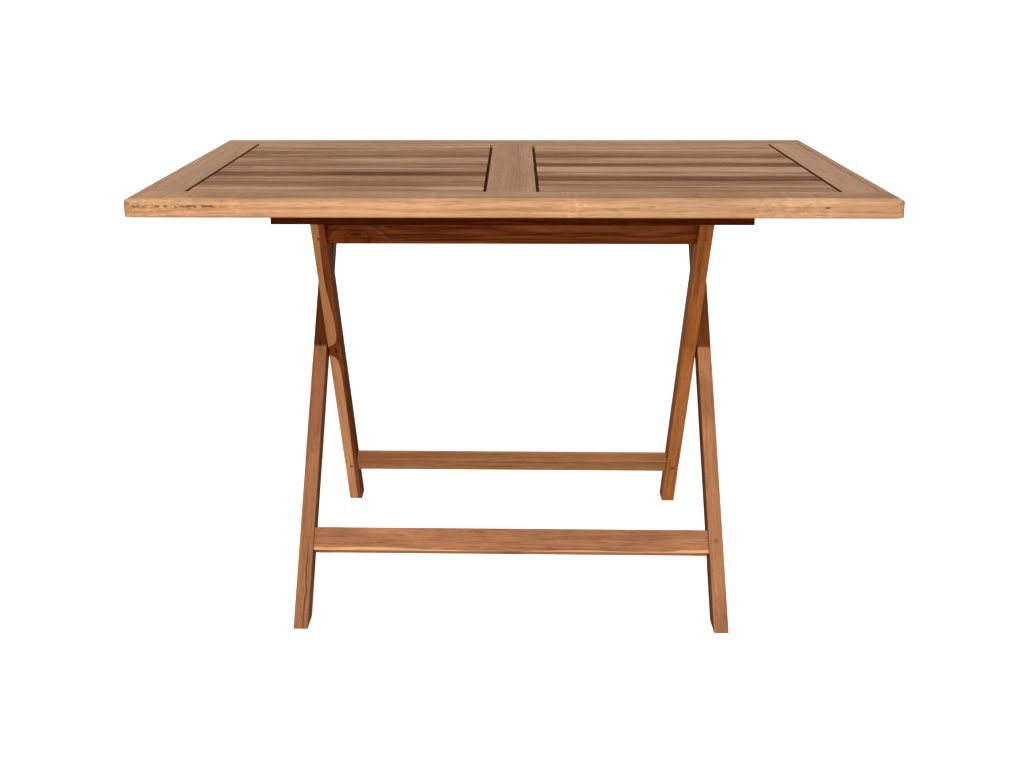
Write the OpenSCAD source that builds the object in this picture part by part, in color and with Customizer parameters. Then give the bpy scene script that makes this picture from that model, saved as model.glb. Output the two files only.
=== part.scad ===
// Folding picnic table in solid teak: a slatted top over two crossed leg frames.
// The inner frame hangs from hinges under the front batten, the outer frame is
// bolted to it where the legs cross, and its top end slides under the back batten.
// Origin: on the floor, under the centre of the top. +Z is up, the long side is X.

/* [Tabletop] */
// Length of the top, along X
top_l = 1212; // [1150:1:1300]
// Depth of the top, along Y
top_d = 760; // [740:10:800]
// Height of the top surface above the floor
table_h = 750; // [740:1:760]
// Thickness of the outer boards
top_t = 30; // [28:1:32]
// Width of the two long rails
rail_w = 72; // [60:1:80]
// Width of the two end boards
end_w = 82; // [60:1:90]
// Width of the board across the middle
centre_w = 79; // [60:1:100]
// Thickness of the slats and of the middle board
slat_t = 24; // [22:1:24]
// Number of slats in each panel
slat_count = 11; // [9:1:11]
// Gap between two slats
slat_gap = 1.6; // [1:0.1:3]
// Open slot between the slat ends and the boards
slot_w = 5; // [3:0.5:6]
// Radius of the rounded upper edge
edge_r = 12; // [8:0.5:13]
// Radius of the rounded corners, seen from above
corner_r = 20; // [16:1:28]

/* [Battens] */
// Length of the battens under the top
batten_l = 822; // [800:1:860]
// Width of the battens, along Y
batten_w = 46; // [40:1:50]
// Height of the battens' underside above the floor
batten_z = 673; // [668:1:678]

/* [Leg frames] */
// Lean of the inner frame's legs from the vertical, in degrees
inner_lean = 31; // [30:0.5:32]
// Lean of the outer frame's legs from the vertical, in degrees
outer_lean = 38; // [37:0.5:39]
// Height of the crossing pivot above the floor
pivot_z = 412; // [408:1:416]
// Width of a leg, across its length
leg_w = 38; // [36:1:40]
// Thickness of a leg, along X
leg_t = 25; // [24:0.5:27]
// Width of the inner frame over its legs
inner_w = 690; // [660:1:700]
// Room between the inner and the outer legs, for a washer
frame_gap = 1.2; // [1:0.1:2]
// Width of the top rails
rail_stock_w = 44; // [40:1:46]
// Width of the outer stretcher
outer_stretcher_w = 41; // [36:1:46]
// Width of the inner stretcher
inner_stretcher_w = 32; // [30:1:40]
// Thickness of rails and stretchers
rail_stock_t = 22; // [20:1:24]
// Depth of the recess in front of the outer stretcher
stretcher_inset = 5; // [2:1:8]
// Radius of the eased edges of legs, rails and battens
ease_r = 1.5; // [0.5:0.5:2]

/* [Fittings] */
// Diameter of the pivot bolts
bolt_d = 8; // [6:1:10]
// Distance of the hinges from the middle
hinge_x = 210; // [150:10:260]
// Length of a hinge, along X
hinge_l = 64; // [50:2:80]
// Outside radius of the hinge knuckles
knuckle_r = 4; // [3.5:0.5:4.5]
// Thickness of a hinge leaf
leaf_t = 2; // [1.5:0.5:2.5]
// Length of a turn button, pivot to tip
button_reach = 34; // [30:1:34]

/* [Hidden] */
$fn = 48;
side_names = ["left", "right"];

teak_top = [0.66, 0.49, 0.35];
teak_leg = [0.67, 0.43, 0.24];
teak_dark = [0.42, 0.22, 0.12];
brass = [0.72, 0.58, 0.32];
eps = 0.01;
fit_gap = 0.05;
// How far a cutter runs past the surface that it cuts
over = 1;

// Tabletop
under_z = table_h - top_t;
slat_z = table_h - slat_t;
panel_d = top_d - 2 * rail_w;
slat_pitch = panel_d / slat_count;
slat_x0 = centre_w / 2 + slot_w;
slat_x1 = top_l / 2 - end_w - slot_w;
tongue_t = 8;
tongue_z = table_h - slat_t / 2 - tongue_t / 2;
tongue_in = 9;
groove_in = tongue_in + 1;
tongue_side = 2;
dowel_r = 3;
dowel_in = 24;
dowel_z = table_h - slat_t / 2;
dowel_spread = 20;
bottom_ease = 2.5;
slat_ease = 1;

// Leg frames: depth of a leg along Y, halved, where a level plane cuts it
half_inner_y = leg_w / 2 / cos(inner_lean);
half_outer_y = leg_w / 2 / cos(outer_lean);
frame_top_clear = 0.8;
slide_clear = 0.5;
hinge_y = -(batten_z - pivot_z) * tan(inner_lean) + half_inner_y;
knuckle_clear = 0.4;
front_batten_y = hinge_y - knuckle_r - knuckle_clear - batten_w;
inner_x = inner_w / 2;
outer_x = inner_x + frame_gap + leg_t;
leg_reach = 900;
inner_rail_top = 303;
outer_rail_top = 326;
rail_back = leg_w / 2 - knuckle_r - knuckle_clear;
rail_spare = 20;
inner_stretcher_t = rail_stock_t + 3;
inner_stretcher_top = -342;
outer_stretcher_top = -359;
tenon_l = 18;
tenon_t = 12;
tenon_side = 6;
peg_r = 3.5;
peg_l = 30;
peg_inner_x = inner_x - leg_t / 2;
peg_outer_x = outer_x - leg_t / 2;

// Hinges
hinge_along = (batten_z - pivot_z - leg_w / 2 * sin(inner_lean)) / cos(inner_lean);
knuckle_count = 5;
knuckle_l = hinge_l / knuckle_count;
knuckle_play = 0.3;
pin_r = 1.5;
leaf_w = 32;
leaf_screw_x = 22;
leaf_screw_out = [17, 24];
screw_r = 1.6;
screw_head_r = 3.3;
screw_l = 15;
slot_cut_w = 0.7;
slot_cut_d = 0.8;

// Batten screws
batten_screw_x = [-370, -185, 0, 185, 370];
batten_screw_r = 2.5;
batten_screw_head_r = 5;
batten_screw_head_h = 4;
batten_screw_in = 15;

// Pivots
bolt_r = bolt_d / 2;
washer_r = 10;
washer_t = 1;
head_r = 8;
head_h = 3;
head_gap = 0.1;
hex_r = 2.9;
hex_depth = 2;
recess_r = washer_r + 1;
recess_x = outer_x - 5;
head_x = recess_x + head_gap + washer_t;
bolt_in = 14;
insert_r = bolt_r + 2.5;
insert_l = 16;

// Turn buttons
button_w = 22;
button_t = 10;
button_tip_r = 6;
button_x = outer_x - leg_t / 2;
button_z = batten_z + 26;
button_washer_r = 7;
button_washer_t = 2.8;
button_standoff = 3;
button_play = 0.3;
button_y = (batten_z - pivot_z) * tan(outer_lean) + half_outer_y + button_play;
back_batten_y = button_y - button_standoff - batten_w;
button_head_gap = 0.2;
button_screw_r = 2.5;
button_head_r = 5.5;
button_head_h = 2.5;
button_screw_in = 28;
button_slot_w = 1.2;
button_slot_d = 1.2;

// ---- Shared shapes ----

// Block from one corner to the other
module block(a, b) {
    translate(a) cube(b - a);
}

// Outline of a board end: upper corners rounded by r, lower ones eased by e
module rounded_section(width, height, r, e) {
    half = width / 2;
    translate([-half + r, 0]) square([width - 2 * r, height]);
    translate([-half, e]) square([width, height - r - e]);
    translate([-half + e, 0]) square([width - 2 * e, e + eps]);
    for (side = [-1, 1]) {
        translate([side * (half - r), height - r]) circle(r);
        translate([side * (half - e), e]) circle(e);
    }
}

// Rectangle from the origin with all four corners rounded by r
module eased_section(width, height, r) {
    translate([r, 0]) square([width - 2 * r, height]);
    translate([0, r]) square([width, height - 2 * r]);
    for (x = [r, width - r]) for (y = [r, height - r]) translate([x, y]) circle(r);
}

// Bar along X from x0 to x1 with eased long edges; y0 and z0 are its lower corner
module eased_bar(x0, x1, y0, z0, depth, height, r) {
    translate([x0, y0, z0]) rotate([90, 0, 90])
        linear_extrude(x1 - x0) eased_section(depth, height, r);
}

// The whole top as one block with its rounded edges; each board is a piece of it
module top_blank() {
    intersection() {
        translate([0, top_d / 2, under_z]) rotate([90, 0, 0])
            linear_extrude(top_d) rounded_section(top_l, top_t, edge_r, bottom_ease);
        translate([-top_l / 2, 0, under_z]) rotate([90, 0, 90])
            linear_extrude(top_l) rounded_section(top_d, top_t, edge_r, bottom_ease);
        translate([0, 0, under_z]) linear_extrude(top_t) plan_outline();
    }
}

module plan_outline() {
    x = top_l / 2 - corner_r;
    y = top_d / 2 - corner_r;
    square([top_l, 2 * y], center = true);
    square([2 * x, top_d], center = true);
    for (sx = [-1, 1]) for (sy = [-1, 1]) translate([sx * x, sy * y]) circle(corner_r);
}

// A countersunk wood screw along +Z with its flat head's top at z = 0
module wood_screw(r, head_radius, head_height, length) {
    difference() {
        union() {
            translate([0, 0, -head_height]) cylinder(h = head_height, r1 = r, r2 = head_radius);
            translate([0, 0, -length]) cylinder(h = length, r = r);
        }
        translate([-head_radius, -slot_cut_w / 2, -slot_cut_d])
            cube([2 * head_radius, slot_cut_w, slot_cut_d + eps]);
    }
}

// The hole that a countersunk screw fills
module screw_hole(r, head_radius, head_height, length) {
    translate([0, 0, -head_height]) cylinder(h = head_height, r1 = r, r2 = head_radius);
    translate([0, 0, -length]) cylinder(h = length, r = r);
}

// Places children in a leg frame's own axes: +Z up the leg, origin at the pivot
module in_inner_frame() {
    translate([0, 0, pivot_z]) rotate([inner_lean, 0, 0]) children();
}

module in_outer_frame() {
    translate([0, 0, pivot_z]) rotate([-outer_lean, 0, 0]) children();
}

// Level slab that cuts the legs at the floor and under the battens
module between_floor_and(z) {
    block([-top_l, -leg_reach, 0], [top_l, leg_reach, z]);
}

// ---- Tabletop ----

module rail_dowel_holes() {
    for (x = dowel_columns()) for (sy = [-1, 1])
        translate([x, sy * (panel_d / 2), dowel_z]) rotate([90, 0, 0])
            cylinder(h = 2 * dowel_in, r = dowel_r, center = true);
}

function dowel_columns() = [
    for (board_x = [-(top_l - end_w) / 2, 0, (top_l - end_w) / 2])
        for (s = [-1, 1]) board_x + s * dowel_spread
];

module rail_dowels() {
    color("tan") rail_dowel_holes();
}

module long_rail(side) {
    color(teak_top) difference() {
        intersection() {
            top_blank();
            translate([0, side * (top_d - rail_w) / 2, table_h])
                cube([top_l + 2 * over, rail_w, 4 * top_t], center = true);
        }
        rail_dowel_holes();
    }
}

module end_board(side) {
    x_in = top_l / 2 - end_w;
    color(teak_top) difference() {
        intersection() {
            top_blank();
            translate([side * (x_in + end_w), 0, table_h])
                cube([2 * end_w, panel_d, 4 * top_t], center = true);
        }
        tongue_groove(side * x_in, side);
        rail_dowel_holes();
    }
}

// Groove for the slat tongues, cut from x towards the given side
module tongue_groove(x, side) {
    translate([x + side * groove_in / 2, 0, tongue_z + tongue_t / 2])
        cube([groove_in, panel_d + 2 * over, tongue_t + 2 * fit_gap], center = true);
}

module centre_board() {
    half = centre_w / 2;
    color(teak_top) difference() {
        block([-half, -panel_d / 2, slat_z], [half, panel_d / 2, table_h]);
        for (side = [-1, 1]) tongue_groove(side * half, -side);
        rail_dowel_holes();
        batten_screw_holes();
    }
}

// Slat number i of one panel, counted from the front
module slat(side, i) {
    y0 = -panel_d / 2 + (i - 1) * slat_pitch + slat_gap / 2;
    y1 = y0 + slat_pitch - slat_gap;
    low = min(side * slat_x0, side * slat_x1);
    high = max(side * slat_x0, side * slat_x1);
    reach = slot_w + tongue_in;
    color(teak_top) difference() {
        union() {
            eased_bar(low, high, y0, slat_z, y1 - y0, slat_t, slat_ease);
            block([low - reach, y0 + tongue_side, tongue_z],
                  [high + reach, y1 - tongue_side, tongue_z + tongue_t]);
        }
        batten_screw_holes();
    }
}

// ---- Battens ----

// Front face of the front batten (side -1) or of the back batten (side 1)
function batten_y(side) = side < 0 ? front_batten_y : back_batten_y;

module batten(side) {
    color(teak_dark) difference() {
        eased_bar(-batten_l / 2, batten_l / 2, batten_y(side), batten_z,
            batten_w, slat_z - batten_z, ease_r);
        batten_screw_holes();
        if (side < 0) at_hinges() batten_leaf_screws() leaf_screw_hole();
        if (side > 0) at_buttons() button_screw_hole();
    }
}

module at_batten_screws() {
    for (side = [-1, 1]) for (x = batten_screw_x)
        translate([x, batten_y(side) + batten_w / 2, batten_z]) rotate([180, 0, 0]) children();
}

module batten_screw_holes() {
    at_batten_screws() screw_hole(batten_screw_r, batten_screw_head_r,
        batten_screw_head_h, slat_z - batten_z + batten_screw_in);
}

module batten_screws() {
    color(brass) at_batten_screws() wood_screw(batten_screw_r, batten_screw_head_r,
        batten_screw_head_h, slat_z - batten_z + batten_screw_in);
}

// ---- Hinges ----

// Places children on each hinge's axis, in the tabletop's own directions
module at_hinges() {
    for (side = [-1, 1]) translate([side * hinge_x, hinge_y, batten_z]) children();
}

// The same axis in the inner frame's own directions
module at_frame_hinges() {
    in_inner_frame() for (side = [-1, 1])
        translate([side * hinge_x, leg_w / 2, hinge_along]) children();
}

// One leaf, standing along +Z behind the knuckles, with every second knuckle
module hinge_leaf(first) {
    back = -knuckle_r - knuckle_clear;
    difference() {
        union() {
            block([-hinge_l / 2, back, knuckle_r + knuckle_clear], [hinge_l / 2, back + leaf_t, leaf_w]);
            for (k = [first:2:knuckle_count - 1]) {
                x0 = -hinge_l / 2 + k * knuckle_l + knuckle_play / 2;
                x1 = x0 + knuckle_l - knuckle_play;
                block([x0, back, 0], [x1, back + leaf_t, knuckle_r + 1]);
                translate([x0, 0, 0]) rotate([0, 90, 0]) cylinder(h = x1 - x0, r = knuckle_r);
            }
        }
        rotate([0, 90, 0]) cylinder(h = 2 * hinge_l, r = pin_r + fit_gap, center = true);
        leaf_screws() leaf_screw_hole();
    }
}

// Places children at the leaf's screws, heads facing +Y
module leaf_screws() {
    for (x = [-leaf_screw_x, 0, leaf_screw_x])
        translate([x, -knuckle_r - knuckle_clear + leaf_t, x == 0 ? leaf_screw_out[1] : leaf_screw_out[0]])
            rotate([-90, 0, 0]) children();
}

module batten_leaf_screws() {
    leaf_screws() children();
}

// The frame leaf points down the leg, so its pattern is turned upside down
module frame_leaf_screws() {
    mirror([0, 0, 1]) leaf_screws() children();
}

module leaf_screw_hole() {
    screw_hole(screw_r, screw_head_r, leaf_t, screw_l);
}

module hinge_batten_leaves() {
    color(brass) at_hinges() hinge_leaf(0);
}

module hinge_frame_leaves() {
    color(brass) at_frame_hinges() mirror([0, 0, 1]) hinge_leaf(1);
}

module hinge_pins() {
    color(brass) at_hinges() rotate([0, 90, 0]) cylinder(h = hinge_l, r = pin_r, center = true);
}

module hinge_batten_screws() {
    color(brass) at_hinges() batten_leaf_screws() wood_screw(screw_r, screw_head_r, leaf_t, screw_l);
}

module hinge_frame_screws() {
    color(brass) at_frame_hinges() frame_leaf_screws() wood_screw(screw_r, screw_head_r, leaf_t, screw_l);
}

// ---- Turn buttons ----

module at_buttons() {
    for (side = [-1, 1]) at_button(side) children();
}

// Pivot of one turn button, +Z pointing away from the batten
module at_button(side) {
    translate([side * button_x, button_y, button_z]) rotate([-90, 0, 0]) children();
}

module button_screw_hole() {
    translate([0, 0, button_standoff - button_screw_in])
        cylinder(h = button_screw_in, r = button_screw_r);
}

// Round at the pivot, with a blunt tip of rounded corners
module button_outline(side) {
    straight = button_reach - button_tip_r;
    tip_y = button_w / 2 - button_tip_r;
    circle(button_w / 2);
    translate([side > 0 ? -straight : 0, -button_w / 2]) square([straight, button_w]);
    translate([-side * straight, 0]) square([2 * button_tip_r, 2 * tip_y], center = true);
    for (s = [-1, 1]) translate([-side * straight, s * tip_y]) circle(button_tip_r);
}

// The button lies along its batten, with its tip towards the middle of the table
module turn_button(side) {
    color(teak_leg) at_button(side) difference() {
        linear_extrude(button_t) button_outline(side);
        translate([0, 0, -over]) cylinder(h = button_t + 2 * over, r = button_screw_r + fit_gap);
    }
}

module button_screws() {
    head_z = button_t + button_head_gap;
    color(brass) at_buttons() difference() {
        union() {
            translate([0, 0, head_z]) cylinder(h = button_head_h, r = button_head_r);
            translate([0, 0, button_standoff - button_screw_in])
                cylinder(h = head_z + button_screw_in - button_standoff + eps, r = button_screw_r);
        }
        translate([-button_head_r, -button_slot_w / 2, head_z + button_head_h - button_slot_d])
            cube([2 * button_head_r, button_slot_w, button_slot_d + over]);
    }
}

module button_washers() {
    color(brass) at_buttons() difference() {
        translate([0, 0, -button_standoff]) cylinder(h = button_washer_t, r = button_washer_r);
        translate([0, 0, -button_standoff - over])
            cylinder(h = button_washer_t + 2 * over, r = button_screw_r);
    }
}

// ---- Leg frames ----

// One straight leg in its frame's axes, its outer face at x = side * x_out
module leg_blank(side, x_out) {
    low = side > 0 ? x_out - leg_t : -x_out;
    translate([low, -leg_w / 2, -leg_reach])
        linear_extrude(2 * leg_reach) eased_section(leg_t, leg_w, ease_r);
}

// Rail between two legs, with a tenon at each end; y0 and z0 are its lower edges
module cross_rail(x_in, y0, z0, t, w) {
    tenon_y = y0 + (t - tenon_t) / 2;
    eased_bar(-x_in, x_in, y0, z0, t, w, ease_r);
    block([-x_in - tenon_l, tenon_y, z0 + tenon_side],
          [x_in + tenon_l, tenon_y + tenon_t, z0 + w - tenon_side]);
}

module inner_top_rail_shape() {
    intersection() {
        in_inner_frame() cross_rail(inner_x - leg_t, rail_back - rail_stock_t,
            inner_rail_top - rail_stock_w, rail_stock_t, rail_stock_w);
        between_floor_and(batten_z - frame_top_clear);
    }
}

module inner_stretcher_shape() {
    in_inner_frame() cross_rail(inner_x - leg_t, rail_stock_t / 2 - inner_stretcher_t,
        inner_stretcher_top - inner_stretcher_w, inner_stretcher_t, inner_stretcher_w);
}

module outer_top_rail_shape() {
    intersection() {
        in_outer_frame() cross_rail(outer_x - leg_t, -leg_w / 2,
            outer_rail_top - rail_stock_w, rail_stock_t, rail_stock_w + rail_spare);
        between_floor_and(batten_z - slide_clear);
    }
}

module outer_stretcher_shape() {
    in_outer_frame() cross_rail(outer_x - leg_t, -leg_w / 2 + stretcher_inset,
        outer_stretcher_top - outer_stretcher_w, rail_stock_t, outer_stretcher_w);
}

// Pegs driven into the front faces of one frame's legs, at the given heights
module pegs(x, heights) {
    for (side = [-1, 1]) for (z = heights)
        translate([side * x, -leg_w / 2, z]) rotate([-90, 0, 0]) cylinder(h = peg_l, r = peg_r);
}

inner_peg_heights = [inner_rail_top - rail_stock_w / 2, inner_stretcher_top - inner_stretcher_w / 2];
outer_peg_heights = [outer_rail_top - rail_stock_w / 2, outer_stretcher_top - outer_stretcher_w / 2];

module inner_peg_set() {
    in_inner_frame() pegs(peg_inner_x, inner_peg_heights);
}

module outer_peg_set() {
    in_outer_frame() pegs(peg_outer_x, outer_peg_heights);
}

module inner_leg(side) {
    color(teak_leg) difference() {
        intersection() {
            in_inner_frame() leg_blank(side, inner_x);
            between_floor_and(batten_z - frame_top_clear);
        }
        inner_top_rail_shape();
        inner_stretcher_shape();
        inner_peg_set();
        pivot_line(inner_x - insert_l, inner_x + over, insert_r);
    }
}

module outer_leg(side) {
    color(teak_leg) difference() {
        intersection() {
            in_outer_frame() leg_blank(side, outer_x);
            between_floor_and(batten_z - slide_clear);
        }
        outer_top_rail_shape();
        outer_stretcher_shape();
        outer_peg_set();
        pivot_line(inner_x, outer_x + over, bolt_r + fit_gap);
        pivot_line(recess_x, outer_x + over, recess_r);
    }
}

module inner_top_rail() {
    color(teak_dark) difference() {
        inner_top_rail_shape();
        inner_peg_set();
        at_frame_hinges() frame_leaf_screws() leaf_screw_hole();
    }
}

module inner_stretcher() {
    color(teak_leg) difference() {
        inner_stretcher_shape();
        inner_peg_set();
    }
}

module outer_top_rail() {
    color(teak_dark) difference() {
        outer_top_rail_shape();
        outer_peg_set();
    }
}

module outer_stretcher() {
    color(teak_leg) difference() {
        outer_stretcher_shape();
        outer_peg_set();
    }
}

module inner_pegs() {
    color("tan") inner_peg_set();
}

module outer_pegs() {
    color("tan") outer_peg_set();
}

// ---- Pivots ----

// A round bar on the crossing axis on both sides, from x0 out to x1
module pivot_line(x0, x1, r) {
    for (side = [-1, 1]) mirror([side < 0 ? 1 : 0, 0, 0])
        translate([x0, 0, pivot_z]) rotate([0, 90, 0]) cylinder(h = x1 - x0, r = r);
}

module pivot_inserts() {
    color(brass) difference() {
        pivot_line(inner_x - insert_l, inner_x, insert_r);
        pivot_line(inner_x - bolt_in, inner_x + over, bolt_r);
    }
}

module pivot_washers() {
    color(brass) difference() {
        union() {
            pivot_line(inner_x, inner_x + washer_t, washer_r);
            pivot_line(recess_x + head_gap, head_x, washer_r);
        }
        pivot_line(inner_x - over, head_x + over, bolt_r);
    }
}

module pivot_bolts() {
    color(brass) difference() {
        union() {
            pivot_line(inner_x - bolt_in, head_x, bolt_r);
            pivot_line(head_x, head_x + head_h, head_r);
        }
        for (side = [-1, 1]) translate([side * (head_x + head_h), 0, pivot_z])
            rotate([0, 90, 0]) cylinder(h = 2 * hex_depth, r = hex_r, center = true, $fn = 6);
    }
}

long_rail(-1);  // long_rail_front
long_rail(1);  // long_rail_back
end_board(-1);  // end_board_left
end_board(1);  // end_board_right
centre_board();
for (i = [1:slat_count]) {
    slat(-1, i);
    slat(1, i);
}
rail_dowels();
batten(-1);  // batten_front
batten(1);  // batten_back
batten_screws();
hinge_batten_leaves();
hinge_pins();
hinge_batten_screws();
turn_button(-1);  // turn_button_left
turn_button(1);  // turn_button_right
button_screws();
button_washers();
inner_leg(-1);  // inner_leg_left
inner_leg(1);  // inner_leg_right
inner_top_rail();
inner_stretcher();
inner_pegs();
hinge_frame_leaves();
hinge_frame_screws();
pivot_bolts();
pivot_washers();
pivot_inserts();
outer_leg(-1);  // outer_leg_left
outer_leg(1);  // outer_leg_right
outer_top_rail();
outer_stretcher();
outer_pegs();
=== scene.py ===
"""Looks of the folding picnic table: teak and brass materials, studio light and camera.

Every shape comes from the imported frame. This script adds one procedural material per board, so that
each board has its own grain, tone and figure, plus the floor, the lights and the camera.
"""

import math

import bmesh
import bpy
from mathutils import Matrix, Vector


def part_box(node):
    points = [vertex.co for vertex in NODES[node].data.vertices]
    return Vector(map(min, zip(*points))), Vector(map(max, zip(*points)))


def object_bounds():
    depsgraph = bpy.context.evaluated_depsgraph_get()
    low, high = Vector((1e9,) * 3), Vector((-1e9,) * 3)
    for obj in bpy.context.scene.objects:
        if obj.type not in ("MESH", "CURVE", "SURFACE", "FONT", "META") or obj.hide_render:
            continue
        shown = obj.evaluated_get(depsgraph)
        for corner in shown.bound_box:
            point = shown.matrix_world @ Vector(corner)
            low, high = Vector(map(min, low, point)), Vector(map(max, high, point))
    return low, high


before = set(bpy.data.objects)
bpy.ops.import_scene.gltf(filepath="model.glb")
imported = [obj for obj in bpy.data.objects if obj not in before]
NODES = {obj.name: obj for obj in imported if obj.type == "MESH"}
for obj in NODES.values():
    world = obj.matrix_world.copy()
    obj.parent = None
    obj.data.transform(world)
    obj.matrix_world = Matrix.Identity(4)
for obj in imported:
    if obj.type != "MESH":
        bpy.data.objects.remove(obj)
cad_low, cad_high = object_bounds()

SLATS_PER_PANEL = sum(name.startswith("slat_left_") for name in NODES)

# ---------------------------------------------------------------- colours (linear RGB)
# each palette runs from its darkest wood to its palest
TOP_WOOD = ((0.205, 0.093, 0.046), (0.36, 0.21, 0.13), (0.53, 0.36, 0.25))
GREY_WOOD = ((0.30, 0.175, 0.115), (0.425, 0.27, 0.18), (0.55, 0.37, 0.26))
RAIL_WOOD = ((0.32, 0.185, 0.105), (0.455, 0.29, 0.185), (0.60, 0.42, 0.30))
LEG_WOOD = ((0.17, 0.072, 0.031), (0.31, 0.158, 0.084), (0.43, 0.255, 0.15))
GOLD_WOOD = ((0.20, 0.075, 0.025), (0.36, 0.16, 0.063), (0.49, 0.245, 0.11))
# the darkest palette: real heartwood on the left inner leg, and painted shade on the battens and top rails
# under the top
HEARTWOOD_AND_UNDER_SHADE = ((0.115, 0.026, 0.009), (0.22, 0.078, 0.032), (0.33, 0.145, 0.07))
# dark colour of the knot hearts, and of the painted shade in the gaps between boards
DARK = (0.10, 0.03, 0.011)
SAPWOOD = (0.52, 0.31, 0.19)
CRACK = (0.05, 0.018, 0.008)
PEG_DARK = (0.16, 0.065, 0.03)
PEG_PALE = (0.30, 0.15, 0.075)
BRASS = (0.62, 0.43, 0.17)
BRASS_DULL = (0.30, 0.19, 0.08)

# ---------------------------------------------------------------- light and floor
AMBIENT = 0.33
KEY = 1.85
KEY_ELEVATION = 41
KEY_SPREAD = 0.8
KEY_COLOUR = (1.0, 0.98, 0.95)
FILL = 0.85
FILL_ELEVATION = 9
FILL_SPREAD = 25
FILL_COLOUR = (1.0, 0.80, 0.56)
FLOOR_HALF = 30.0
FLOOR_GLOW = 0.6
FLOOR_SEEN = (0.5, 0.5, 0.5)
FLOOR_BOUNCE = (0.66, 0.61, 0.55)
BOUNCE_DROP = 0.002
BACKDROP_RADIUS = 28.0
BACKDROP_GLOW = 1.2
BLACK_POINT = 0.009
PAPER_RELIEF = 0.0001

# ---------------------------------------------------------------- camera
CAMERA_PLACE = Vector((0.0074, -2.3332, 1.0787))
# degrees to the right, down and anticlockwise
CAMERA_YAW = -1.632
CAMERA_PITCH = 14.039
CAMERA_ROLL = -0.201
# millimetres on a 36 mm wide sensor, and shares of the picture's width
LENS = 44.9213
SHIFT_X = 0.033528
SHIFT_Y = -0.08309


# ---------------------------------------------------------------- shader building

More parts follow.
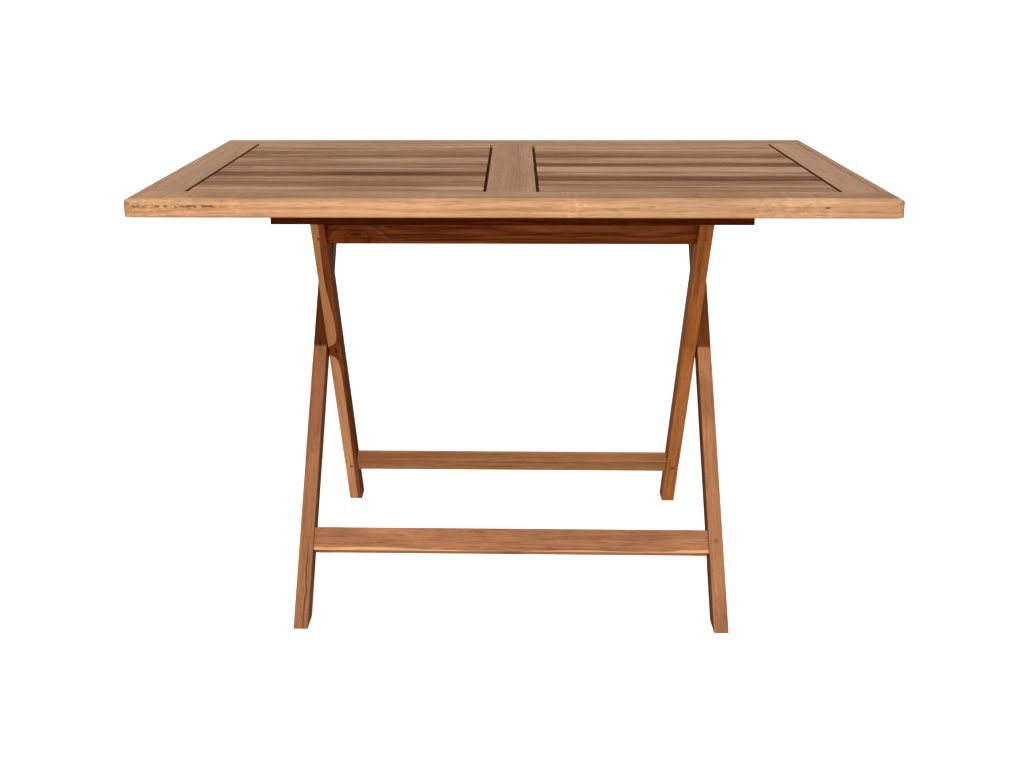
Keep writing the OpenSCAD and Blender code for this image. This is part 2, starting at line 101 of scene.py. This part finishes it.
class Shader:
    """One node material, built step by step. A socket or a plain number can be given to every step."""

    def __init__(self, name):
        self.material = bpy.data.materials.new(name)
        self.material.use_nodes = True
        self.tree = self.material.node_tree
        self.tree.nodes.clear()
        self.coordinates = self.node("ShaderNodeTexCoord")

    def node(self, kind, **settings):
        made = self.tree.nodes.new(kind)
        for key, value in settings.items():
            setattr(made, key, value)
        return made

    def feed(self, socket, value):
        if isinstance(value, bpy.types.NodeSocket):
            self.tree.links.new(value, socket)
        elif isinstance(value, tuple) and len(value) == 3 and socket.type == "RGBA":
            socket.default_value = (*value, 1)
        else:
            socket.default_value = value

    def math(self, operation, *values):
        made = self.node("ShaderNodeMath", operation=operation)
        for socket, value in zip(made.inputs, values):
            self.feed(socket, value)
        return made.outputs[0]

    def add(self, *values):
        total = values[0]
        for value in values[1:]:
            total = self.math("ADD", total, value)
        return total

    def times(self, *values):
        product = values[0]
        for value in values[1:]:
            product = self.math("MULTIPLY", product, value)
        return product

    def swing(self, noise, size):
        """Noise from 0 to 1 turned into a swing of the given size about 0."""
        return self.times(self.math("SUBTRACT", noise, 0.5), size)

    def wander(self, along, fineness, seed, size):
        """A slow swing of the given size about 0, which changes only along the board."""
        line = self.join(along, 0.0, 0.0)
        return self.swing(self.noise(line, (fineness, 1, 1), seed, 3), size)

    def distance(self, x, y):
        return self.math("SQRT", self.add(self.times(x, x), self.times(y, y)))

    def rise(self, value, low, high, to_low=0.0, to_high=1.0, smooth=True):
        """Step from to_low to to_high while value goes from low to high."""
        made = self.node("ShaderNodeMapRange", interpolation_type="SMOOTHSTEP" if smooth else "LINEAR")
        for index, number in enumerate((value, low, high, to_low, to_high)):
            self.feed(made.inputs[index], number)
        return made.outputs[0]

    def bell(self, value, middle, half_width):
        """1 where value is at the middle, falling smoothly to 0 at half_width on both sides."""
        away = self.math("ABSOLUTE", self.math("SUBTRACT", value, middle))
        return self.rise(away, 0.0, half_width, 1.0, 0.0)

    def split(self, vector):
        made = self.node("ShaderNodeSeparateXYZ")
        self.feed(made.inputs[0], vector)
        return made.outputs

    def join(self, x, y, z):
        made = self.node("ShaderNodeCombineXYZ")
        for socket, value in zip(made.inputs, (x, y, z)):
            self.feed(socket, value)
        return made.outputs[0]

    def vector(self, operation, first, second):
        made = self.node("ShaderNodeVectorMath", operation=operation)
        self.feed(made.inputs[0], first)
        self.feed(made.inputs[1], second)
        return made.outputs["Value" if operation == "DOT_PRODUCT" else "Vector"]

    def noise(self, vector, stretch, seed, detail=2.0, roughness=0.5):
        """Fractal noise from 0 to 1, with stretch features per metre along x, y and z."""
        placed = self.node("ShaderNodeMapping", vector_type="POINT")
        self.feed(placed.inputs["Vector"], vector)
        placed.inputs["Location"].default_value = (seed * 1.7, seed * 2.9, seed * 4.3)
        placed.inputs["Scale"].default_value = stretch
        made = self.node("ShaderNodeTexNoise", noise_dimensions="3D")
        self.feed(made.inputs["Vector"], placed.outputs[0])
        made.inputs["Scale"].default_value = 1.0
        made.inputs["Detail"].default_value = detail
        made.inputs["Roughness"].default_value = roughness
        return made.outputs[0]

    def noise_along(self, value, seed, detail=2.0, roughness=0.5):
        """Noise of one number."""
        made = self.node("ShaderNodeTexNoise", noise_dimensions="1D")
        self.feed(made.inputs["W"], self.add(value, seed * 13.7))
        made.inputs["Scale"].default_value = 1.0
        made.inputs["Detail"].default_value = detail
        made.inputs["Roughness"].default_value = roughness
        return made.outputs[0]

    def mix(self, share, first, second):
        """Two colours mixed; the node's sockets 6 and 7 are its two colours and output 2 the result."""
        made = self.node("ShaderNodeMix", data_type="RGBA")
        self.feed(made.inputs["Factor"], share)
        self.feed(made.inputs[6], first)
        self.feed(made.inputs[7], second)
        return made.outputs[2]

    def scaled(self, colour, factor):
        made = self.node("ShaderNodeVectorMath", operation="SCALE")
        self.feed(made.inputs[0], colour)
        self.feed(made.inputs["Scale"], factor)
        return made.outputs[0]

    def curve(self, value, points):
        """A smooth line through the given (input, output) points, both from 0 to 1."""
        made = self.node("ShaderNodeFloatCurve")
        self.feed(made.inputs["Value"], value)
        line = made.mapping.curves[0]
        for number, (x, y) in enumerate(points):
            if number < 2:
                line.points[number].location = (x, y)
            else:
                line.points.new(x, y)
        made.mapping.update()
        return made.outputs[0]

    def finish(self, colour, roughness, height, relief, **surface):
        """Puts the surface together. Everything in surface is a plain number on the shader itself."""
        bump = self.node("ShaderNodeBump")
        bump.inputs["Distance"].default_value = relief
        self.feed(bump.inputs["Height"], height)
        shader = self.node("ShaderNodeBsdfPrincipled")
        self.feed(shader.inputs["Base Color"], colour)
        self.feed(shader.inputs["Roughness"], roughness)
        self.feed(shader.inputs["Normal"], bump.outputs[0])
        for key, value in surface.items():
            shader.inputs[key.replace("_", " ")].default_value = value
        output = self.node("ShaderNodeOutputMaterial")
        self.feed(output.inputs["Surface"], shader.outputs[0])
        return self.material


# ---------------------------------------------------------------- teak
# how fine each layer of the wood is: features per metre along, across and through the board
SWAY = (3.2, 9, 9)
CLOUD = (3.5, 22, 22)
STREAK = (2.0, 95, 95)
FIBRE = (8, 330, 330)
PORE = (38, 1100, 1100)

# how far the rings wander, in metres, and how strongly each layer changes the tone
SWAY_SIZE = 0.026
RING_SWING = 1.0
BAND_SWING = 1.1
CLOUD_SWING = 0.65
FIBRE_SWING = 0.62
# what is left of the colour in a streak, a darker line and on end grain, and what a pore takes away
STREAK_SHADE = 0.42
LINE_SHADE = 0.35
END_GRAIN_SHADE = 0.62
PORE_LOSS = 0.28
# shares of full strength
KNOT_STRENGTH = 0.75
# how strongly the painted shade darkens the gaps between boards
GAP_SHADE_STRENGTH = 0.88
PATCH_STRENGTH = 0.16
WOOD_RELIEF = 0.0002


class Board:
    """How one board was cut from its log, what marks it bears, and the coordinates that its grain follows.

    along and across are directions on the table. tone runs from 0, dark, to 1, pale. pith is where the
    middle of the log was, across the board and through it, and ring is the width of a growth ring, in
    metres. lines and knots are lists of places. sapwood, patches and marks are functions that say how
    strongly a place on the board is pale, patched or marked.
    """

    def __init__(self, node, along, across, seed, palette, tone, pith, ring=0.006, figure=1.0,
                 streaks=0.5, lines=(), knots=(), shade_in_gaps=False, sapwood=None, patches=None,
                 marks=None):
        self.node = node
        low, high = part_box(node)
        self.middle = (low + high) / 2
        self.along = Vector(along).normalized()
        self.across = Vector(across).normalized()
        self.seed = seed
        self.palette = palette
        self.tone = tone
        self.pith = pith
        self.ring = ring
        self.figure = figure
        self.streaks = streaks
        self.lines = lines
        self.knots = knots
        self.shade_in_gaps = shade_in_gaps
        self.sapwood = sapwood
        self.patches = patches
        self.marks = marks

    def space(self, sh):
        """Metres on the board: x along the grain, y across it, z through it."""
        through = self.along.cross(self.across)
        turn = Matrix((self.along, self.across, through)).transposed().to_euler()
        placed = sh.node("ShaderNodeMapping", vector_type="TEXTURE")
        sh.feed(placed.inputs["Vector"], sh.coordinates.outputs["Object"])
        placed.inputs["Location"].default_value = self.middle
        placed.inputs["Rotation"].default_value = turn
        return placed.outputs[0]


def teak(board):
    """Teak with growth rings, fibre, pores and mineral streaks, all solid through the board."""
    sh = Shader("teak_" + board.node)
    seed = board.seed
    place = board.space(sh)
    along, across, depth = sh.split(place)

    sway = sh.swing(sh.noise(place, SWAY, seed, 3), SWAY_SIZE)
    rings, bands, hearts = growth_rings(sh, board, along, across, depth, sway)
    fibre = sh.noise(place, FIBRE, seed + 1, 3, 0.6)
    pores = sh.rise(sh.noise(place, PORE, seed + 2, 1), 0.60, 0.72)
    cloud = sh.noise(place, CLOUD, seed + 3, 3)

    light = sh.add(sh.swing(rings, RING_SWING), sh.swing(bands, BAND_SWING), sh.swing(cloud, CLOUD_SWING))
    colour = palette_colour(sh, board, light)
    colour = streaked(sh, board, colour, along, across, depth, sway)
    if board.sapwood:
        pale = sh.scaled(sh.join(*SAPWOOD), sh.rise(cloud, 0.2, 0.8, 0.86, 1.12))
        colour = sh.mix(board.sapwood(sh, along, across, depth), colour, pale)
    shade = sh.add(1.0, sh.swing(fibre, FIBRE_SWING), sh.times(pores, -PORE_LOSS))
    at_end = sh.math("ABSOLUTE", facing(sh, board.along))
    colour = sh.scaled(colour, sh.times(shade, sh.rise(at_end, 0.7, 0.95, 1.0, END_GRAIN_SHADE)))
    # painted shade: the sides of the boards in the gaps below the top are darkened, where little light
    # reaches
    if board.shade_in_gaps:
        colour = sh.mix(gap_shade_mask(sh), colour, DARK)
    for heart in hearts:
        colour = sh.mix(sh.times(heart, KNOT_STRENGTH), colour, DARK)
    if board.patches:
        patches = sh.times(board.patches(sh, along, across, depth), PATCH_STRENGTH)
        colour = sh.scaled(colour, sh.add(1.0, patches))
    if board.marks:
        colour = sh.mix(board.marks(sh, along, across, depth), colour, CRACK)

    wear = sh.add(sh.times(fibre, 0.6), sh.times(cloud, 0.4))
    roughness = sh.rise(wear, 0.2, 0.8, 0.48, 0.68)
    height = sh.add(sh.times(fibre, 0.5), sh.times(pores, -0.6), sh.times(rings, 0.35))
    paint(board.node, sh.finish(colour, roughness, height, WOOD_RELIEF, Specular_IOR_Level=0.3))


def growth_rings(sh, board, along, across, depth, sway):
    """Fine rings and broad bands round the pith, and the dark hearts of the board's knots."""
    side = sh.math("SUBTRACT", across, board.pith[0])
    inward = sh.math("SUBTRACT", depth, board.pith[1])
    radius = sh.add(sh.distance(side, inward), sway)
    hearts = []
    for knot in board.knots:
        radius, heart = grow_round(sh, along, across, radius, knot)
        hearts.append(heart)
    rings = sh.noise_along(sh.times(radius, 1 / board.ring), board.seed, 3, 0.6)
    bands = sh.noise_along(sh.times(radius, 0.22 / board.ring), board.seed + 5, 2, 0.5)
    return rings, bands, hearts


def grow_round(sh, along, across, radius, knot):
    """Bends the rings round a knot at (along, across) and returns the new radius and the knot's heart."""
    x, y, size = knot
    out_x = sh.times(sh.math("SUBTRACT", along, x), 0.6)
    out_y = sh.math("SUBTRACT", across, y)
    away = sh.distance(out_x, out_y)
    push = sh.rise(away, 0.0, size * 2.5, 1.0, 0.0)
    radius = sh.add(radius, sh.times(push, size * 1.6))
    heart = sh.rise(away, size * 0.15, size * 0.55, 1.0, 0.0)
    return radius, heart


def palette_colour(sh, board, light):
    """The board's palette, read at its own tone and at how light or dark the rings are there."""
    tone = sh.add(board.tone, sh.times(light, board.figure))
    deep, middle, pale = board.palette
    colour = sh.mix(sh.rise(tone, 0.0, 0.5, smooth=False), deep, middle)
    return sh.mix(sh.rise(tone, 0.5, 1.0, smooth=False), colour, pale)


def streaked(sh, board, colour, along, across, depth, sway):
    """Adds thin mineral streaks all over and the board's own darker lines."""
    bent = sh.join(along, sh.add(across, sway), depth)
    mineral = sh.noise(bent, STREAK, board.seed + 4, 3, 0.6)
    streak = sh.times(sh.rise(mineral, 0.53, 0.66), board.streaks)
    colour = sh.mix(streak, colour, sh.scaled(colour, STREAK_SHADE))
    for place, half_width, strength in board.lines:
        wander = sh.wander(along, 5, board.seed + 6, 0.01)
        line = sh.bell(sh.add(across, wander), place, half_width)
        colour = sh.mix(sh.times(line, strength), colour, sh.scaled(colour, LINE_SHADE))
    return colour


def gap_shade_mask(sh):
    """Painted shade on the sides of a board in the gaps between boards, from just below the top of the
    table down.
    """
    height = sh.split(sh.coordinates.outputs["Object"])[2]
    below = sh.rise(height, TOP_Z - 0.005, TOP_Z - 0.0015, 1.0, 0.0)
    not_under = sh.rise(facing(sh, (0, 0, 1)), -0.7, -0.4)
    return sh.times(below, not_under, GAP_SHADE_STRENGTH)


def facing(sh, direction):
    """How squarely the surface faces a direction of the table, from -1 to 1."""
    return sh.vector("DOT_PRODUCT", sh.coordinates.outputs["Normal"], tuple(direction))


def paint(node, material):
    """Gives a CAD node its one material."""
    mesh = NODES[node].data
    mesh.materials.clear()
    mesh.materials.append(material)


# ---------------------------------------------------------------- fittings
BRASS_RELIEF = 0.00004
PEG_RELIEF = 0.0001


def brass():
    """Slightly tarnished brass: dull in blotches, with fine scratches."""
    sh = Shader("brass")
    place = sh.coordinates.outputs["Object"]
    tarnish = sh.rise(sh.noise(place, (120, 120, 120), 3, 4, 0.6), 0.42, 0.68)
    scratch = sh.noise(place, (900, 140, 900), 4, 2)
    colour = sh.mix(tarnish, BRASS, BRASS_DULL)
    roughness = sh.add(sh.times(tarnish, 0.25), sh.rise(scratch, 0.3, 0.7, 0.24, 0.36))
    return sh.finish(colour, roughness, scratch, BRASS_RELIEF, Metallic=1.0)


def peg_wood():
    """End grain of the small teak pegs and dowels: dark and paler blotches."""
    sh = Shader("peg_wood")
    place = sh.coordinates.outputs["Object"]
    grain = sh.noise(place, (700, 700, 700), 6, 3, 0.6)
    cloud = sh.noise(place, (60, 60, 60), 7, 2)
    blotches = sh.add(sh.times(grain, 0.6), sh.times(cloud, 0.5))
    colour = sh.mix(sh.rise(blotches, 0.35, 0.75), PEG_DARK, PEG_PALE)
    roughness = sh.rise(grain, 0.3, 0.7, 0.55, 0.7)
    return sh.finish(colour, roughness, grain, PEG_RELIEF, Specular_IOR_Level=0.3)


def fittings():
    metal = brass()
    for name in ("batten_screws", "hinge_batten_leaves", "hinge_pins", "hinge_batten_screws",
                 "button_screws", "button_washers", "hinge_frame_leaves", "hinge_frame_screws",
                 "pivot_bolts", "pivot_washers", "pivot_inserts"):
        paint(name, metal)
    peg = peg_wood()
    for name in ("rail_dowels", "inner_pegs", "outer_pegs"):
        paint(name, peg)


# ---------------------------------------------------------------- the boards
X_AXIS = (1, 0, 0)
Y_AXIS = (0, 1, 0)
Z_AXIS = (0, 0, 1)
INNER_LEAN = math.radians(31)
OUTER_LEAN = math.radians(38)
INNER_UP = (0, -math.sin(INNER_LEAN), math.cos(INNER_LEAN))
OUTER_UP = (0, math.sin(OUTER_LEAN), math.cos(OUTER_LEAN))

# tone of each slat from the front one to the back one
LEFT_TONES = (0.70, 0.42, 0.62, 0.05, 0.64, 0.48, 0.72, 0.57, 0.62, 0.53, 0.98)
RIGHT_TONES = (0.68, 0.78, 0.14, 0.50, 0.98, 0.26, 0.85, 0.38, 0.66, 0.93, 1.0)
# darker lines along some boards: place across the board, half the line's width, strength
BOARD_LINES = {
    "slat_left_4": ((0.010, 0.012, 0.35), (-0.016, 0.008, 0.3)),
    "slat_left_10": ((0.0, 0.005, 0.75),),
    "slat_right_2": ((-0.018, 0.014, 0.35),),
    "slat_right_4": ((0.018, 0.014, 0.35),),
    "slat_right_6": ((0.0, 0.009, 0.3),),
    "long_rail_front": ((-0.020, 0.0035, 0.6), (-0.007, 0.004, 0.4)),
    "end_board_left": ((-0.020, 0.003, 0.25),),
    "end_board_right": ((0.017, 0.003, 0.5),),
    "centre_board": ((0.012, 0.0025, 0.25),),
    "inner_stretcher": ((0.0165, 0.006, 0.25),),
}
# knots: place along the board, place across it, size
TOP_RAIL_KNOT = (-0.27, 0.004, 0.016)
LEG_KNOT_BELOW_PIVOT = 0.004
LEG_KNOT_ACROSS = 0.002
LEG_KNOT_SIZE = 0.010


def slats():
    for number in range(1, SLATS_PER_PANEL + 1):
        for panel, tones, first_seed in (("left", LEFT_TONES, 20), ("right", RIGHT_TONES, 50)):
            name = f"slat_{panel}_{number}"
            seed = first_seed + number
            pith = (0.03 * math.sin(seed * 2.1), -0.05 - 0.04 * math.cos(seed * 1.3))
            teak(Board(name, X_AXIS, Y_AXIS, seed, TOP_WOOD, tone=tones[(number - 1) % len(tones)],
                       pith=pith, ring=0.0055, streaks=0.6, lines=BOARD_LINES.get(name, ()),
                       shade_in_gaps=True))


def top_frame():
    teak(Board("long_rail_front", X_AXIS, Y_AXIS, 3, RAIL_WOOD, tone=0.55, pith=(0.01, -0.20), ring=0.008,
               figure=0.8, streaks=0.2, lines=BOARD_LINES["long_rail_front"], marks=edge_specks,
               patches=edge_patches))
    teak(Board("long_rail_back", X_AXIS, Y_AXIS, 4, RAIL_WOOD, tone=0.45, pith=(0.02, -0.15), ring=0.008,
               figure=0.7, streaks=0.2))
    for name, seed, tone in (("end_board_left", 5, 0.68), ("end_board_right", 6, 0.74),
                             ("centre_board", 8, 0.52)):
        teak(Board(name, Y_AXIS, X_AXIS, seed, GREY_WOOD, tone=tone, pith=(0.12, -0.02), ring=0.012,
                   figure=0.45, streaks=0.08, lines=BOARD_LINES[name], shade_in_gaps=True))


def under_the_top():
    # painted shade: the battens and top rails take the darkest palette, the battens at its darkest tone, to
    # stand for the shade under the top
    for name, seed in (("batten_front", 11), ("batten_back", 12)):
        teak(Board(name, X_AXIS, Y_AXIS, seed, HEARTWOOD_AND_UNDER_SHADE, tone=0.05, pith=(0.02, -0.08)))
    teak(Board("inner_top_rail", X_AXIS, INNER_UP, 13, HEARTWOOD_AND_UNDER_SHADE, tone=0.62, pith=(0.03, -0.05),
               streaks=0.8, knots=(TOP_RAIL_KNOT,)))
    teak(Board("outer_top_rail", X_AXIS, OUTER_UP, 14, HEARTWOOD_AND_UNDER_SHADE, tone=0.6, pith=(0.03, -0.06),
               streaks=0.6))
    for side, seed in (("left", 15), ("right", 16)):
        teak(Board(f"turn_button_{side}", X_AXIS, Z_AXIS, seed, LEG_WOOD, tone=0.5, pith=(0.02, -0.05),
                   ring=0.005))


def legs():
    leg_knot = (KNOT_ALONG, LEG_KNOT_ACROSS, LEG_KNOT_SIZE)
    teak(Board("inner_leg_left", INNER_UP, X_AXIS, 71, HEARTWOOD_AND_UNDER_SHADE, tone=0.55, pith=(0.02, 0.06),
               streaks=0.7, knots=(leg_knot,), sapwood=pale_side))
    teak(Board("inner_leg_right", INNER_UP, X_AXIS, 72, GOLD_WOOD, tone=0.88, pith=(0.015, 0.07),
               figure=0.8, streaks=0.4))
    teak(Board("outer_leg_left", OUTER_UP, X_AXIS, 73, LEG_WOOD, tone=0.43, pith=(0.0, 0.10), ring=0.007,
               figure=0.7, streaks=0.2, marks=foot_crack))
    teak(Board("outer_leg_right", OUTER_UP, X_AXIS, 74, LEG_WOOD, tone=0.34, pith=(0.005, 0.11), ring=0.007,
               figure=0.7, streaks=0.15))


def stretchers():
    teak(Board("inner_stretcher", X_AXIS, INNER_UP, 75, LEG_WOOD, tone=0.87, pith=(0.02, -0.09),
               figure=0.9, streaks=0.5, lines=BOARD_LINES["inner_stretcher"]))
    teak(Board("outer_stretcher", X_AXIS, OUTER_UP, 76, LEG_WOOD, tone=0.43, pith=(0.01, -0.11), ring=0.007,
               figure=0.9, streaks=0.35, sapwood=pale_lower_edge))


# ---------------------------------------------------------------- marks of single boards

def width_across(node, axis):
    """How wide a board is along one axis of the table."""
    low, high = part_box(node)
    return high[axis] - low[axis]


def pivot_along(node, direction):
    """Where the pivot lies along a leg, measured from the middle of its box."""
    low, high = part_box(node)
    pivot_z = sum(corner.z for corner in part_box("pivot_bolts")) / 2
    return (Vector((0, 0, pivot_z)) - (low + high) / 2).dot(Vector(direction))


TOP_Z = cad_high.z
FRONT_FACE = -width_across("long_rail_front", 1) / 2
LEG_THICKNESS = width_across("inner_leg_left", 0)
KNOT_ALONG = pivot_along("inner_leg_left", INNER_UP) - LEG_KNOT_BELOW_PIVOT

# the front edge: places along it, in metres from its middle
SPECKS_REACH = -0.43
DASH_ALONG = 0.485
DARKER_FROM = -0.1
DARKER_TO = 0.45
SPECK_STRENGTH = 1.9
RIGHT_EDGE_LOSS = 0.75
# the left inner leg: how far its sapwood's edge is drawn below and above the knot, in metres
PALE_BELOW = 0.4
PALE_ABOVE = 0.3
# pale share of the leg's thickness at places from 0, PALE_BELOW the knot, to 1, PALE_ABOVE it
PALE_SHARE = ((0.0, 0.70), (0.30, 0.76), (0.50, 0.72), (0.545, 0.45), (0.560, 0.04), (0.574, 0.0),
              (0.588, 0.15), (0.605, 0.62), (0.64, 0.76), (0.74, 0.63), (0.85, 0.45), (1.0, 0.54))


def edge_patches(sh, along, across, depth):
    """Pale, finely mottled patches along the front board, whose edge is darker towards the right."""
    place = sh.rise(sh.noise(sh.join(along, 0.0, 0.0), (9, 1, 1), 41, 2), 0.48, 0.62)
    mottle = sh.rise(sh.noise(sh.join(along, 0.0, depth), (110, 1, 190), 42, 4, 0.6), 0.42, 0.62)
    edge = sh.rise(across, FRONT_FACE - 0.0005, FRONT_FACE + 0.002, 1.0, 0.0)
    darker = sh.times(edge, sh.rise(along, DARKER_FROM, DARKER_TO), -RIGHT_EDGE_LOSS)
    return sh.add(sh.times(place, mottle), darker)


def edge_specks(sh, along, across, depth):
    """Small dark specks near the left end of the front edge and one short dash near the right end."""
    edge = sh.rise(across, FRONT_FACE - 0.0005, FRONT_FACE + 0.0005, 1.0, 0.0)
    speck = sh.rise(sh.noise(sh.join(along, 0.0, depth), (95, 1, 330), 31, 3), 0.455, 0.495)
    left = sh.times(speck, sh.rise(along, SPECKS_REACH - 0.03, SPECKS_REACH, 1.0, 0.0))
    left = sh.times(left, sh.bell(depth, 0.005, 0.006))
    dash = sh.times(sh.bell(along, DASH_ALONG, 0.007), sh.bell(depth, 0.002, 0.0022))
    return sh.times(edge, sh.math("MAXIMUM", left, dash), SPECK_STRENGTH)


def pale_side(sh, along, across, depth):
    """The outer side of the left inner leg is sapwood, pinched off at the knot."""
    place = sh.rise(along, KNOT_ALONG - PALE_BELOW, KNOT_ALONG + PALE_ABOVE, smooth=False)
    share = sh.curve(place, PALE_SHARE)
    from_outside = sh.add(sh.times(across, 1 / LEG_THICKNESS), 0.5)
    return sh.rise(sh.math("SUBTRACT", share, from_outside), -0.03, 0.04)


def pale_lower_edge(sh, along, across, depth):
    """A narrow band of sapwood along the lower edge of the front stretcher, which comes and goes."""
    height = sh.add(across, sh.wander(along, 5, 18, 0.022))
    return sh.rise(height, -0.0178, -0.0162, 1.0, 0.0)


def foot_crack(sh, along, across, depth):
    """A thin dark crack that wanders up from the left front foot."""
    side = sh.math("SUBTRACT", across, sh.wander(along, 26, 9, 0.012))
    foot = sh.rise(along, -0.32, -0.28, 1.0, 0.0)
    return sh.times(sh.bell(side, 0.004, 0.0013), foot)


# ---------------------------------------------------------------- studio

def put_in_scene(thing):
    bpy.context.scene.collection.objects.link(thing)


def only_for_the_camera(thing):
    """Leaves a thing visible to the camera, but not to the light."""
    for ray in ("diffuse", "glossy", "transmission", "volume_scatter", "shadow"):
        setattr(thing, "visible_" + ray, False)


def sheet_of_floor(name, height, material):
    """A large level square, the floor as one kind of ray sees it."""
    side = FLOOR_HALF
    mesh = bpy.data.meshes.new(name)
    corners = [(-side, -side, height), (side, -side, height), (side, side, height), (-side, side, height)]
    mesh.from_pydata(corners, [], [(0, 1, 2, 3)])
    mesh.materials.append(material)
    made = bpy.data.objects.new(name, mesh)
    put_in_scene(made)
    return made


def paper(name, colour, glow):
    """Plain pale studio paper, faintly mottled."""
    sh = Shader(name)
    speck = sh.noise(sh.coordinates.outputs["Object"], (40, 40, 40), 1, 2)
    mottled = sh.mix(speck, tuple(0.98 * c for c in colour), tuple(1.02 * c for c in colour))
    return sh.finish(mottled, 0.9, speck, PAPER_RELIEF, Specular_IOR_Level=0.0,
                     Emission_Color=(1, 1, 1, 1), Emission_Strength=glow)


def floor():
    """White paper that looks evenly lit, over a greyer one that sends less light back up."""
    seen = sheet_of_floor("floor", 0.0, paper("paper_seen", FLOOR_SEEN, FLOOR_GLOW))
    only_for_the_camera(seen)
    bounce = sheet_of_floor("floor_bounce", -BOUNCE_DROP, paper("paper_bounce", FLOOR_BOUNCE, 0.0))
    bounce.visible_camera = False


def backdrop():
    """A white ball of paper round everything."""
    mesh = bpy.data.meshes.new("backdrop")
    shape = bmesh.new()
    bmesh.ops.create_icosphere(shape, subdivisions=4, radius=BACKDROP_RADIUS)
    shape.to_mesh(mesh)
    shape.free()
    mesh.materials.append(paper("paper_backdrop", (0.0, 0.0, 0.0), BACKDROP_GLOW))
    made = bpy.data.objects.new("backdrop", mesh)
    put_in_scene(made)
    only_for_the_camera(made)


def soft_sun(name, energy, elevation, spread, colour):
    """Light from a far panel straight in front of the table; spread is the angle that it fills."""
    light = bpy.data.lights.new(name, "SUN")
    light.energy = energy
    light.angle = math.radians(spread)
    light.color = colour
    lamp = bpy.data.objects.new(name, light)
    lamp.rotation_euler = (math.radians(90 - elevation), 0, 0)
    put_in_scene(lamp)


def lights():
    world = bpy.data.worlds.new("studio")
    world.use_nodes = True
    sky = world.node_tree.nodes["Background"]
    sky.inputs["Color"].default_value = (1, 1, 1, 1)
    sky.inputs["Strength"].default_value = AMBIENT
    bpy.context.scene.world = world
    soft_sun("key", KEY, KEY_ELEVATION, KEY_SPREAD, KEY_COLOUR)
    soft_sun("fill", FILL, FILL_ELEVATION, FILL_SPREAD, FILL_COLOUR)


def camera():
    """In front of the table and a third of a metre above its top, aimed down and slightly to the left."""
    yaw, pitch, roll = (math.radians(angle) for angle in (CAMERA_YAW, CAMERA_PITCH, CAMERA_ROLL))
    forward = Vector((math.sin(yaw) * math.cos(pitch), math.cos(yaw) * math.cos(pitch), -math.sin(pitch)))
    level = Vector((math.cos(yaw), -math.sin(yaw), 0))
    upward = level.cross(forward)
    right = level * math.cos(roll) + upward * math.sin(roll)
    up = upward * math.cos(roll) - level * math.sin(roll)
    turn = Matrix((right, up, -forward)).transposed().to_4x4()
    data = bpy.data.cameras.new("camera")
    data.sensor_width = 36
    data.lens = LENS
    data.shift_x = SHIFT_X
    data.shift_y = SHIFT_Y
    made = bpy.data.objects.new("camera", data)
    made.matrix_world = Matrix.Translation(CAMERA_PLACE) @ turn
    put_in_scene(made)
    bpy.context.scene.camera = made


def grading():
    """Deep shadows: high contrast and a black point just above black."""
    view = bpy.context.scene.view_settings
    view.view_transform = "Standard"
    view.look = "High Contrast"
    view.use_curve_mapping = True
    view.curve_mapping.black_level = (BLACK_POINT, BLACK_POINT, BLACK_POINT)
    view.curve_mapping.update()


slats()
top_frame()
under_the_top()
legs()
stretchers()
fittings()
floor()
backdrop()
lights()
camera()
grading()
